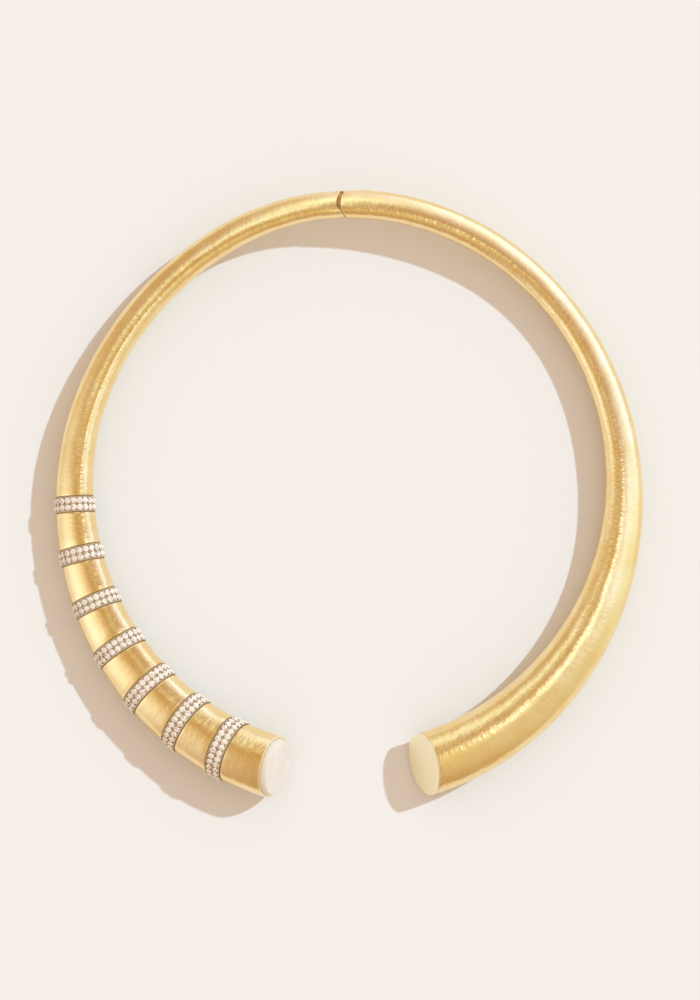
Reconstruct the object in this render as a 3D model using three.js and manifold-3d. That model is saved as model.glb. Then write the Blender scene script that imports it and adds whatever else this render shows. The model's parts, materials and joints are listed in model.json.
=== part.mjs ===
// A hinged torc necklace: two tapering gold arms joined by a pin hinge at the nape, round
// there and a flat oval at the front, seven bands of small cut stones round one arm, an
// oval stone in a bezel on that arm's end, and a flat polished end on the other.
// Millimetres, +Z up, +Y to the nape, the open front at -Y. It is drawn about the middle
// of the loop, then moved so that its origin is the middle of its footprint, with its
// underside on z = 0, as it lies on a table.

import * as THREE from 'three';
import { mergeVertices } from 'three/addons/utils/BufferGeometryUtils.js';
import Module from 'manifold-3d';

// ---- driving dimensions -----------------------------------------------------------

const LOOP_HALF_WIDTH = 64.35; // centre line of the arms in plan, an ellipse
const LOOP_HALF_DEPTH = 66.7;
const ARM_END = 164.3; // degrees round the loop, from the hinge to an arm's end
const NAPE_RADIUS = 3.35; // the right arm's radius at the hinge
const LEFT_NECKING = 0.2; // the left arm is this much thinner there
const FRONT_RADIUS = 7.35; // and at its end
const TAPER_START = 30; // degrees round the loop where the arm begins to swell
const TAPER_POWER = 1.35; // above 1, the swelling comes late
const OVAL_SHARE = 0.82; // height over width of an arm's section at the front
const OVAL_START = 75; // degrees round the loop where the round section begins to flatten
const OVAL_SPAN = 50; // degrees that the change takes
const NAPE_LIFT = 5.6; // the back arches off the table
const LIFT_SPAN = 80; // degrees from the hinge to where the arm comes down
const LIFT_POWER = 1.5; // above 1, it comes down early
const ARM_ARCH = 0.9; // a slight second arch on the way to the front
const ARCH_START = 30; // degrees round the loop
const ARCH_SPAN = 80;
const RIGHT_RISE = 0.6; // the arms' ends stand this much off the table
const LEFT_RISE = 1.5;
const RISE_START = 140; // degrees round the loop
const END_LEAN = 28; // degrees that an arm's end face looks up
const END_SLEW = 2.7; // degrees that it looks in towards the other end
const LEAN_POWER = 3.5; // how late along the arm the cross planes begin to lean
const LEFT_INSET = 1.15; // the left arm runs this much inside the ellipse at 45 degrees
const LEFT_SPREAD = 0.5; // and this much outside it towards the front
const QUARTER = 90; // degrees round the loop where the inset ends and the spread begins
const SPREAD_SPAN = 60; // degrees that the spread takes

const SIDES = 24; // facets round an arm
const STATION_STEP = 3; // degrees between the cross sections of an arm
const ROUND_SIDES = 48; // facets of the hinge's large rounds
const EYE_SIDES = 32;
const PIN_SIDES = 16;
const PLANE_PASSES = 4; // tries at the place where a skin line meets a plane
const GAP = 0.3; // between one piece and the next

const BAND_COUNT = 7;
const FIRST_BAND = 93; // degrees round the loop
const BAND_PITCH = 10.2;
const BAND_WIDTH = 3.4;
const BAND_PROUD = 0.4; // stone tables above the arm
const RIM_PROUD = 0.22; // the band's metal edge above the arm
const VALLEY_PROUD = 0.08; // metal between the stones
const BAND_DEPTH = 0.9; // from the arm's surface down to the band's inner face
const RIM_WIDTH = 0.3;
const STONE_PITCH = 1.42; // round the arm, from stone to stone
const STONE_ARC = 240; // degrees of the band that carry stones, over the top
const PLAIN_COLUMNS = 6; // facets of the plain stretch under the arm
const TABLE_SIDES = 8;
const TABLE_SHARE = 0.31; // table radius over stone pitch

const BEZEL_WALL = 0.45; // gold round the end stone
const BEZEL_DEPTH = 0.6; // how far the stone is let in
const STONE_PROUD = 1.3; // and how far it stands out
const STONE_BEVEL = 0.7;
const STONE_SHOULDER = 0.21; // the bevel's rounder upper part
const END_BEVEL = 0.22; // broken edge of the polished end

const PIN_X = 2.45; // hinge axis, a little to the right of the middle
const NOSE_RADIUS = 4.5; // the right arm's rounded nose, about the pin
const HINGE_GAP = 0.9; // between the nose and the left arm's cup
const TONGUE_RADIUS = 2.7;
const TONGUE_NECK = 4.4; // width between the tongue's eye and the left arm
const TONGUE_ROOT = 6.7; // how far it runs back into the left arm
const TONGUE_THICKNESS = 2.2;
const PIN_RADIUS = 0.8;
const PIN_HALF_LENGTH = 2.4;
const HINGE_HEIGHT = NAPE_LIFT + NAPE_RADIUS;
const REACH = 20; // longer than anything at the hinge

const GOLD = new THREE.MeshStandardMaterial({ color: 0xe3b866, roughness: 0.35, metalness: 1 });
const WHITE_STONES = new THREE.MeshStandardMaterial({ color: 0xece4dc, roughness: 0.15, metalness: 0.2 });
const MILKY_STONE = new THREE.MeshStandardMaterial({ color: 0xece6da, roughness: 0.2, metalness: 0 });

const RIGHT = 1;
const LEFT = -1;

const wasm = await Module();
wasm.setup();

// ---- the form of the arms -------------------------------------------------------------

function smooth(share) {
  const t = Math.min(1, Math.max(0, share));
  return t * t * (3 - 2 * t);
}

// how much thicker an arm is here than at the hinge
function armSwell(at) {
  const along = Math.max(0, (at - TAPER_START) / (ARM_END - TAPER_START));
  return (FRONT_RADIUS - NAPE_RADIUS) * smooth(along ** TAPER_POWER);
}

function armRadius(side, at) {
  const necking = side === LEFT ? LEFT_NECKING * (1 - smooth(at / TAPER_START)) : 0;
  return NAPE_RADIUS + armSwell(at) - necking;
}

// height over width of the arm's section
function ovalShare(at) {
  return 1 - (1 - OVAL_SHARE) * smooth((at - OVAL_START) / OVAL_SPAN);
}

// height of the arm's underside above the table
function armLift(side, at) {
  const nape = Math.abs(at) < LIFT_SPAN ? 0.5 + 0.5 * Math.cos((Math.PI * at) / LIFT_SPAN) : 0;
  const over = Math.min(1, Math.max(0, (at - ARCH_START) / ARCH_SPAN));
  const rise = smooth((at - RISE_START) / (ARM_END - RISE_START));
  const ends = rise * (side === LEFT ? LEFT_RISE : RIGHT_RISE);
  const ride = side === LEFT ? RIM_PROUD * smooth(at / LIFT_SPAN) : 0;
  return NAPE_LIFT * nape ** LIFT_POWER + ARM_ARCH * Math.sin(Math.PI * over) ** 2 + ends + ride;
}

// how far the hand-bent left arm strays from the ellipse, outwards
function armStray(side, at) {
  if (side === RIGHT || at < 0) return 0;
  const inset = at < QUARTER ? Math.sin((Math.PI * at) / QUARTER) ** 2 : 0;
  return LEFT_SPREAD * smooth((at - QUARTER) / SPREAD_SPAN) - LEFT_INSET * inset;
}

// centre of the arm, with the level directions along it and outwards from the neck
function armFrame(side, at) {
  const turn = THREE.MathUtils.degToRad(at);
  const stray = armStray(side, at);
  const along = new THREE.Vector3(
    side * LOOP_HALF_WIDTH * Math.cos(turn), -LOOP_HALF_DEPTH * Math.sin(turn), 0);
  const speed = along.length();
  along.normalize();
  const out = new THREE.Vector3(-side * along.y, side * along.x, 0);
  const centre = new THREE.Vector3(
    side * LOOP_HALF_WIDTH * Math.sin(turn), LOOP_HALF_DEPTH * Math.cos(turn),
    (NAPE_RADIUS + armSwell(at)) * ovalShare(at) + armLift(side, at));
  centre.addScaledVector(out, stray);
  return { centre, along, out, speed };
}

function skinPoint(side, at, turn, proud) {
  const { centre, out } = armFrame(side, at);
  const radius = armRadius(side, at);
  const point = centre.clone().addScaledVector(out, (radius + proud) * Math.cos(turn));
  point.z += (radius * ovalShare(at) + proud) * Math.sin(turn);
  return point;
}

// the leaning plane that cuts across the arm at this place
function crossPlane(side, at) {
  const { centre, along, out } = armFrame(side, at);
  const share = Math.max(0, at / ARM_END) ** LEAN_POWER;
  const lean = THREE.MathUtils.degToRad(END_LEAN * share);
  const slew = THREE.MathUtils.degToRad(END_SLEW * share);
  const normal = along.clone().addScaledVector(out, -Math.tan(slew));
  normal.z += Math.tan(lean);
  return { centre, normal: normal.normalize() };
}

// the point of the skin, along the line at this turn, that lies in the plane
function planePoint(side, at, turn, proud, offset) {
  const { centre, normal } = crossPlane(side, at);
  let place = at;
  for (let pass = 0; pass < PLANE_PASSES; pass += 1) {
    const miss = skinPoint(side, place, turn, proud).sub(centre).dot(normal) - offset;
    const { along, speed } = armFrame(side, place);
    place -= THREE.MathUtils.radToDeg(miss / (speed * along.dot(normal)));
  }
  return skinPoint(side, place, turn, proud);
}

function ring(side, at, proud = 0, offset = 0) {
  const points = [];
  for (let i = 0; i < SIDES; i += 1) {
    points.push(planePoint(side, at, (2 * Math.PI * i) / SIDES, proud, offset));
  }
  return points;
}

// ---- meshes and solids -----------------------------------------------------------------

// a closed body through rings of points, ends filled from a middle point
function loft(rings) {
  const points = rings.flat();
  const faces = [];
  const count = rings[0].length;
  for (let r = 0; r + 1 < rings.length; r += 1) {
    for (let i = 0; i < count; i += 1) {
      const a = r * count + i;
      const b = r * count + ((i + 1) % count);
      faces.push(a, b, b + count, a, b + count, a + count);
    }
  }
  for (const [first, forward] of [[0, false], [(rings.length - 1) * count, true]]) {
    const middle = points.slice(first, first + count)
      .reduce((sum, p) => sum.add(p), new THREE.Vector3()).divideScalar(count);
    const hub = points.push(middle) - 1;
    for (let i = 0; i < count; i += 1) {
      const a = first + i;
      const b = first + ((i + 1) % count);
      faces.push(...(forward ? [hub, a, b] : [hub, b, a]));
    }
  }
  return meshOf(points, faces);
}

// a mesh from points and faces, turned right side out
function meshOf(points, faces) {
  const geometry = new THREE.BufferGeometry();
  geometry.setAttribute('position', new THREE.Float32BufferAttribute(
    points.flatMap((p) => [p.x, p.y, p.z]), 3));
  let volume = 0;
  for (let f = 0; f < faces.length; f += 3) {
    const [a, b, c] = [points[faces[f]], points[faces[f + 1]], points[faces[f + 2]]];
    volume += a.dot(b.clone().cross(c));
  }
  geometry.setIndex(volume > 0 ? faces : faces.slice().reverse());
  return geometry;
}

function solidOf(geometry) {
  const plain = geometry.clone();
  plain.deleteAttribute('normal');
  plain.deleteAttribute('uv');
  const merged = mergeVertices(plain, 1e-5);
  return new wasm.Manifold(new wasm.Mesh({
    numProp: 3,
    vertProperties: new Float32Array(merged.attributes.position.array),
    triVerts: new Uint32Array(merged.index.array),
  }));
}

function geometryOf(solid) {
  const mesh = solid.getMesh();
  const geometry = new THREE.BufferGeometry();
  geometry.setAttribute('position', new THREE.BufferAttribute(mesh.vertProperties, 3));
  geometry.setIndex(new THREE.BufferAttribute(mesh.triVerts, 1));
  return geometry;
}

// an upright cylinder at the hinge
function drum(x, radius, height, sides) {
  const geometry = new THREE.CylinderGeometry(radius, radius, height, sides);
  geometry.rotateX(Math.PI / 2).translate(x, LOOP_HALF_DEPTH, HINGE_HEIGHT);
  return solidOf(geometry);
}

// a box at the hinge, from one x to another and from the neck side of the arms outwards
function block(fromX, toX, inside, outside, height) {
  const geometry = new THREE.BoxGeometry(toX - fromX, outside - inside, height);
  const y = LOOP_HALF_DEPTH + (inside + outside) / 2;
  geometry.translate((fromX + toX) / 2, y, HINGE_HEIGHT);
  return solidOf(geometry);
}

function piece(name, geometry, material) {
  const mesh = new THREE.Mesh(geometry, material);
  mesh.name = name;
  return mesh;
}

// ---- the two arms -----------------------------------------------------------------------

function stations(from, to) {
  const steps = Math.ceil((to - from) / STATION_STEP);
  return Array.from({ length: steps }, (_, i) => from + ((to - from) * i) / steps);
}

function rightArm() {
  const tube = solidOf(loft([
    ...stations(-4, ARM_END).map((at) => ring(RIGHT, at)),
    ring(RIGHT, ARM_END, 0, -END_BEVEL),
    ring(RIGHT, ARM_END, -END_BEVEL),
  ]));
  const pastNose = block(-REACH, PIN_X, -REACH, REACH, 2 * REACH)
    .subtract(drum(PIN_X, NOSE_RADIUS, 2 * REACH, ROUND_SIDES));
  // open on the outer side only, where the tongue swings to
  const slotHeight = TONGUE_THICKNESS + 2 * GAP;
  const slot = block(-REACH, PIN_X, -TONGUE_NECK / 2 - GAP, REACH, slotHeight)
    .add(drum(PIN_X, TONGUE_RADIUS + GAP, slotHeight, EYE_SIDES));
  const pinHole = drum(PIN_X, PIN_RADIUS + GAP, 2 * (PIN_HALF_LENGTH + GAP), PIN_SIDES);
  return geometryOf(tube.subtract(pastNose).subtract(slot).subtract(pinHole));
}

function bandPlaces() {
  return Array.from({ length: BAND_COUNT }, (_, i) => FIRST_BAND + i * BAND_PITCH);
}

// two steps down and up again: the channel that a band sits in
function channelRings(at) {
  const half = BAND_WIDTH / 2 + GAP;
  const floor = -(BAND_DEPTH + GAP);
  return [[0, -half], [floor, -half], [floor, half], [0, half]]
    .map(([proud, offset]) => ring(LEFT, at, proud, offset));
}

// an oval inside the left arm's end, squarely above or below its face
function endRing(inset, height) {
  const { normal } = crossPlane(LEFT, ARM_END);
  return ring(LEFT, ARM_END, -inset).map((point) => point.addScaledVector(normal, height));
}

function leftTube() {
  const places = bandPlaces();
  const rings = stations(-1, FIRST_BAND - BAND_PITCH / 2).map((at) => ring(LEFT, at));
  for (const at of places) {
    rings.push(ring(LEFT, at - BAND_PITCH / 2), ...channelRings(at));
  }
  rings.push(ring(LEFT, places.at(-1) + BAND_PITCH / 2));
  rings.push(ring(LEFT, ARM_END));
  return solidOf(loft([...rings, endRing(BEZEL_WALL, 0), endRing(BEZEL_WALL, -BEZEL_DEPTH)]));
}

function leftArm() {
  const cupX = PIN_X - HINGE_GAP;
  const cup = drum(cupX, NOSE_RADIUS, 2 * REACH, ROUND_SIDES)
    .add(block(cupX, REACH, -REACH, REACH, 2 * REACH));
  const neck = TONGUE_NECK / 2;
  const tongue = block(cupX - TONGUE_ROOT, PIN_X, -neck, neck, TONGUE_THICKNESS)
    .add(drum(PIN_X, TONGUE_RADIUS, TONGUE_THICKNESS, EYE_SIDES));
  const pinHole = drum(PIN_X, PIN_RADIUS + GAP, 2 * REACH, PIN_SIDES);
  return geometryOf(leftTube().subtract(cup).add(tongue.subtract(pinHole)));
}

function hingePin() {
  const height = 2 * PIN_HALF_LENGTH;
  const geometry = new THREE.CylinderGeometry(PIN_RADIUS, PIN_RADIUS, height, PIN_SIDES);
  return geometry.rotateX(Math.PI / 2).translate(PIN_X, LOOP_HALF_DEPTH, HINGE_HEIGHT);
}

// ---- stones ------------------------------------------------------------------------------

// an oval slab with a bevelled edge, let into the left arm's end
function endStone() {
  const edge = BEZEL_WALL + GAP;
  return loft([
    endRing(edge, GAP - BEZEL_DEPTH),
    endRing(edge, STONE_PROUD - STONE_BEVEL),
    endRing(edge + STONE_SHOULDER, STONE_PROUD - STONE_SHOULDER),
    endRing(edge + STONE_BEVEL, STONE_PROUD),
  ]);
}

// turns of the lines between stones, then of the plain stretch underneath
function bandColumns(at) {
  const arc = THREE.MathUtils.degToRad(STONE_ARC);
  const stones = Math.round((arc * armRadius(LEFT, at)) / STONE_PITCH);
  const start = (Math.PI - arc) / 2;
  const turns = [];
  for (let i = 0; i < stones; i += 1) turns.push(start + (arc * i) / stones);
  for (let i = 0; i < PLAIN_COLUMNS; i += 1) {
    turns.push(start + arc + ((2 * Math.PI - arc) * i) / PLAIN_COLUMNS);
  }
  return { turns, stones };
}

// one band: a metal ring with two rows of stones over its top, all one body
function paveBand(at) {
  const half = BAND_WIDTH / 2;
  const profile = [
    { proud: -BAND_DEPTH, offset: -half },
    { proud: RIM_PROUD, offset: -half },
    { proud: RIM_PROUD, offset: RIM_WIDTH - half, row: -1 }, // a row of stones follows
    { proud: VALLEY_PROUD, offset: 0, row: 1 },
    { proud: RIM_PROUD, offset: half - RIM_WIDTH },
    { proud: RIM_PROUD, offset: half },
    { proud: -BAND_DEPTH, offset: half },
  ];
  const { turns, stones } = bandColumns(at);
  const points = [];
  const faces = [];
  for (const turn of turns) {
    for (const { proud, offset } of profile) {
      points.push(planePoint(LEFT, at, turn, proud, offset));
    }
  }
  const count = profile.length;
  for (let column = 0; column < turns.length; column += 1) {
    const next = (column + 1) % turns.length;
    for (let side = 0; side < count; side += 1) {
      const up = (side + 1) % count;
      const corners = [
        column * count + side, next * count + side, next * count + up, column * count + up];
      const { row } = profile[side];
      if (row && column < stones) {
        const turn = (turns[column] + turns[column + 1]) / 2;
        addStone(points, faces, corners, at, turn, row);
      } else {
        const [a, b, c, d] = corners;
        faces.push(a, b, c, a, c, d);
      }
    }
  }
  return meshOf(points, faces);
}

// an eight-sided table over a cell, with twelve facets falling to the cell's corners
function addStone(points, faces, corners, at, turn, row) {
  const radius = TABLE_SHARE * STONE_PITCH;
  const middle = row * (BAND_WIDTH / 4 - RIM_WIDTH / 2);
  const first = points.length;
  for (let i = 0; i < TABLE_SIDES; i += 1) {
    const angle = (Math.PI * (2 * i + 1)) / TABLE_SIDES + Math.PI;
    const aside = (radius * Math.cos(angle)) / armRadius(LEFT, at);
    points.push(planePoint(LEFT, at, turn + aside, BAND_PROUD, middle + radius * Math.sin(angle)));
  }
  for (let i = 0; i < 4; i += 1) {
    const near = first + 2 * i;
    const far = near + 1;
    const after = first + ((2 * i + 2) % TABLE_SIDES);
    const corner = corners[i];
    const nextCorner = corners[(i + 1) % 4];
    faces.push(corner, far, near, corner, nextCorner, after, corner, after, far);
  }
  for (let i = 1; i < TABLE_SIDES - 1; i += 1) faces.push(first, first + i, first + i + 1);
}

// ---- the whole necklace ---------------------------------------------------------------------

const group = new THREE.Group();
group.add(piece('right_arm', rightArm(), GOLD));
group.add(piece('left_arm', leftArm(), GOLD));
group.add(piece('hinge_pin', hingePin(), GOLD));
group.add(piece('end_stone', endStone(), MILKY_STONE));
bandPlaces().forEach((at, i) => {
  group.add(piece(`pave_band_${i + 1}`, paveBand(at), WHITE_STONES));
});

const extent = new THREE.Box3().setFromObject(group, true);
const middle = extent.getCenter(new THREE.Vector3());
group.position.set(-middle.x, -middle.y, -extent.min.z);

export default group;
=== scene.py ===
"""A hinged torc necklace, dressed for its portrait.

Two tapering arms of satin gold meet at a pin hinge at the nape. Seven bands of small
cut stones ring the left arm, a milky oval stone closes its end, and the right arm ends
in a flat polished face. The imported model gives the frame; the forms below follow the
same named sizes, in millimetres, and are moved to it at the hinge pin.
"""

import json
import logging
import math
from dataclasses import dataclass, field
from enum import Enum
from typing import Any

import bmesh
import bpy
import numpy as np
from bpy.types import Material, Object
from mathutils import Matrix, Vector


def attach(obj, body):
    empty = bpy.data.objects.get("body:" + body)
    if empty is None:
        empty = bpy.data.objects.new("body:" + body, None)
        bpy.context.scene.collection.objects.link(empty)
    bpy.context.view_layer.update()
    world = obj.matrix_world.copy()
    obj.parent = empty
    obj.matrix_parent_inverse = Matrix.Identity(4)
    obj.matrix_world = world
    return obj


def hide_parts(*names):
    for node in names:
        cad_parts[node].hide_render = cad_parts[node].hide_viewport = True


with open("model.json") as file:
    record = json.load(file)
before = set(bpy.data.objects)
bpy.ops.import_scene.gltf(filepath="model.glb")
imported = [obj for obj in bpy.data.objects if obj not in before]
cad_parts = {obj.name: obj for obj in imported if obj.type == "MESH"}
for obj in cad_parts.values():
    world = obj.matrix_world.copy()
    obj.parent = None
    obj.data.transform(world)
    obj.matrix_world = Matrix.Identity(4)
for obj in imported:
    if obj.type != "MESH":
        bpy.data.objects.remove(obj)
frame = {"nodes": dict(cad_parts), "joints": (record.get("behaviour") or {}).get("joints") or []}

log = logging.getLogger("torc")

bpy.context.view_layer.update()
MM = 0.001
FULL_TURN = 2.0 * math.pi
SHARP_ANGLE = 32.0
"""Degrees of turn from which an edge stays crisp, where nothing else is said."""

Triple = tuple[float, float, float]
Face = tuple[int, ...]
Outline = list[tuple[float, float]]
Profile = list[tuple[float, float, int]]


class Side(Enum):
    """Which of the two arms: the plain one or the banded one."""

    RIGHT = 1
    LEFT = -1


class Body(Enum):
    """The rigid halves that the hinge joins."""

    RIGHT_HALF = "right_half"
    LEFT_HALF = "left_half"


class Slot(Enum):
    """The record's material slots of the pieces made here."""

    SATIN_GOLD = "satin_gold"
    MILKY_STONE = "milky_stone"
    PAVE_STONES = "pave_stones"


# ---- the form of the necklace --------------------------------------------------------


def smooth(share: np.ndarray) -> np.ndarray:
    """Eases values from 0 to 1 with level ends, and holds them there."""
    held = np.clip(share, 0.0, 1.0)
    return held * held * (3.0 - 2.0 * held)


@dataclass(frozen=True)
class LoopForm:
    """The centre line, thickness and cross planes of both arms, in millimetres.

    Places along an arm are degrees round the loop from the hinge, and places round an
    arm are radians from the side that faces away from the neck. The section is round at
    the hinge and a flat oval at the front.
    """

    half_width: float = 64.35
    half_depth: float = 66.7
    arm_end: float = 164.3
    nape_radius: float = 3.35
    left_necking: float = 0.2
    front_radius: float = 7.35
    taper_start: float = 30.0
    taper_power: float = 1.35
    oval_share: float = 0.82
    oval_start: float = 75.0
    oval_span: float = 50.0
    nape_lift: float = 5.6
    lift_span: float = 80.0
    lift_power: float = 1.5
    arm_arch: float = 0.9
    arch_start: float = 30.0
    arch_span: float = 80.0
    right_rise: float = 0.6
    left_rise: float = 1.5
    rise_start: float = 140.0
    end_lean: float = 28.0
    end_slew: float = 2.7
    lean_power: float = 3.5
    left_inset: float = 1.15
    left_spread: float = 0.5
    quarter: float = 90.0
    spread_span: float = 60.0
    band_rim: float = 0.22
    pin_x: float = 2.45
    slides: int = 5
    """Steps that slide a ring into its plane."""
    halvings: int = 40
    """Steps that close a ring in on its post."""
    search: tuple[float, float] = (-12.0, 1.0)
    """Degrees between which that ring is found."""

    @property
    def hinge_height(self) -> float:
        """Height of the arms' centre line at the hinge."""
        return self.nape_lift + self.nape_radius

    def swell(self, at: np.ndarray) -> np.ndarray:
        """How much thicker an arm is here than at the hinge."""
        along = np.maximum(0.0, (at - self.taper_start) / (self.arm_end - self.taper_start))
        return (self.front_radius - self.nape_radius) * smooth(along**self.taper_power)

    def radius(self, side: Side, at: np.ndarray) -> np.ndarray:
        """Radius of an arm at these places.

        Args:
            side: The arm.
            at: Places along it.

        Returns:
            One radius to a place.
        """
        necking = 0.0
        if side is Side.LEFT:
            necking = self.left_necking * (1.0 - smooth(at / self.taper_start))
        return self.nape_radius + self.swell(at) - necking

    def flatness(self, at: np.ndarray) -> np.ndarray:
        """Height over width of the section."""
        return 1.0 - (1.0 - self.oval_share) * smooth((at - self.oval_start) / self.oval_span)

    def lift(self, side: Side, at: np.ndarray) -> np.ndarray:
        """Height of the underside above the table.

        Args:
            side: The arm.
            at: Places along it.

        Returns:
            One height to a place.
        """
        wave = 0.5 + 0.5 * np.cos(np.pi * at / self.lift_span)
        nape = np.where(np.abs(at) < self.lift_span, wave, 0.0)
        over = np.clip((at - self.arch_start) / self.arch_span, 0.0, 1.0)
        rise = smooth((at - self.rise_start) / (self.arm_end - self.rise_start))
        ends = rise * (self.left_rise if side is Side.LEFT else self.right_rise)
        ride = self.band_rim * smooth(at / self.lift_span) if side is Side.LEFT else 0.0
        arch = self.arm_arch * np.sin(np.pi * over) ** 2
        return self.nape_lift * nape**self.lift_power + arch + ends + ride

    def stray(self, side: Side, at: np.ndarray) -> np.ndarray:
        """How far the hand-bent left arm runs outside the ellipse.

        Args:
            side: The arm.
            at: Places along it.

        Returns:
            One distance to a place, below 0 where the arm runs inside.
        """
        if side is Side.RIGHT:
            return np.zeros_like(at)
        bend = np.sin(np.pi * at / self.quarter) ** 2
        inset = np.where((at > 0.0) & (at < self.quarter), bend, 0.0)
        spread = smooth((at - self.quarter) / self.spread_span)
        return self.left_spread * spread - self.left_inset * inset

    def line(self, side: Side, at: np.ndarray) -> tuple[np.ndarray, ...]:
        """The centre line and its level directions.

        Args:
            side: The arm.
            at: Places along it.

        Returns:
            The centres, the directions towards the front and away from the neck, and
            the length of centre line to a radian, each with one row to a place.
        """
        hand = side.value
        turn = np.radians(at)
        level = np.zeros_like(at)
        run = [hand * self.half_width * np.cos(turn), -self.half_depth * np.sin(turn), level]
        along = np.stack(run, axis=-1)
        speed = np.linalg.norm(along, axis=-1)
        along = along / speed[..., None]
        out = np.stack([-hand * along[..., 1], hand * along[..., 0], level], axis=-1)
        height = (self.nape_radius + self.swell(at)) * self.flatness(at) + self.lift(side, at)
        spot = [hand * self.half_width * np.sin(turn), self.half_depth * np.cos(turn), height]
        centre = np.stack(spot, axis=-1) + self.stray(side, at)[..., None] * out
        return centre, along, out, speed

    def skin(self, side: Side, at: np.ndarray, turn: np.ndarray, proud: float) -> np.ndarray:
        """Points of an arm's skin, or of a skin that stands proud of it.

        Args:
            side: The arm.
            at: Places along it.
            turn: Places round it.
            proud: Height above the skin.

        Returns:
            One point to a place.
        """
        centre, _, out, _ = self.line(side, at)
        radius = self.radius(side, at)
        point = centre + ((radius + proud) * np.cos(turn))[..., None] * out
        point[..., 2] += (radius * self.flatness(at) + proud) * np.sin(turn)
        return point

    def cross_plane(self, side: Side, at: float) -> tuple[np.ndarray, np.ndarray]:
        """Middle and normal of the leaning plane that cuts an arm at one place.

        Args:
            side: The arm.
            at: The place, in degrees.

        Returns:
            A point of the centre line, and the unit vector that faces the front.
        """
        centre, along, out, _ = self.line(side, np.array([at]))
        share = max(0.0, at / self.arm_end) ** self.lean_power
        normal = along[0] - math.tan(math.radians(self.end_slew * share)) * out[0]
        normal[2] += math.tan(math.radians(self.end_lean * share))
        return centre[0], normal / np.linalg.norm(normal)

    def ring(
        self, side: Side, at: float, turn: np.ndarray, proud: float = 0.0, offset: float = 0.0
    ) -> np.ndarray:
        """Points of the skin that lie in a cross plane, or in one beside it.

        Args:
            side: The arm.
            at: Place of the plane.
            turn: Places round the arm.
            proud: Height above the skin.
            offset: Distance from the plane towards the front.

        Returns:
            One point to a turn.
        """
        centre, normal = self.cross_plane(side, at)
        place = np.full(turn.shape, float(at))
        for _ in range(self.slides):
            miss = (self.skin(side, place, turn, proud) - centre) @ normal - offset
            _, along, _, speed = self.line(side, place)
            place = place - np.degrees(miss / (speed * (along @ normal)))
        return self.skin(side, place, turn, proud)

    def post_ring(
        self, side: Side, turn: np.ndarray, proud: float, post_x: np.ndarray, reach: float
    ) -> np.ndarray:
        """Points of the skin that lie on an upright round post at the hinge.

        Args:
            side: The arm.
            turn: Places round the arm.
            proud: Height above the skin.
            post_x: Where the post stands on the line of the arms, for each turn.
            reach: The post's radius.

        Returns:
            One point to a turn, on the post's left.
        """
        left, right = (np.full(turn.shape, side.value * end) for end in self.search)
        for _ in range(self.halvings):
            middle = 0.5 * (left + right)
            point = self.skin(side, middle, turn, proud)
            far = np.hypot(point[..., 0] - post_x, point[..., 1] - self.half_depth) > reach
            left = np.where(far, middle, left)
            right = np.where(far, right, middle)
        return self.skin(side, 0.5 * (left + right), turn, proud)

    def to_frame(self, points: np.ndarray) -> np.ndarray:
        """Moves loop points, in millimetres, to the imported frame, in metres.

        Args:
            points: Points of the loop.

        Returns:
            The same points, in the frame.
        """
        pin = np.array(frame["joints"][0]["pos_m"])
        here = np.array([self.pin_x, self.half_depth, self.hinge_height])
        return (points - here) * MM + pin


FORM = LoopForm()


# ---- finishes ------------------------------------------------------------------------


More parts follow.
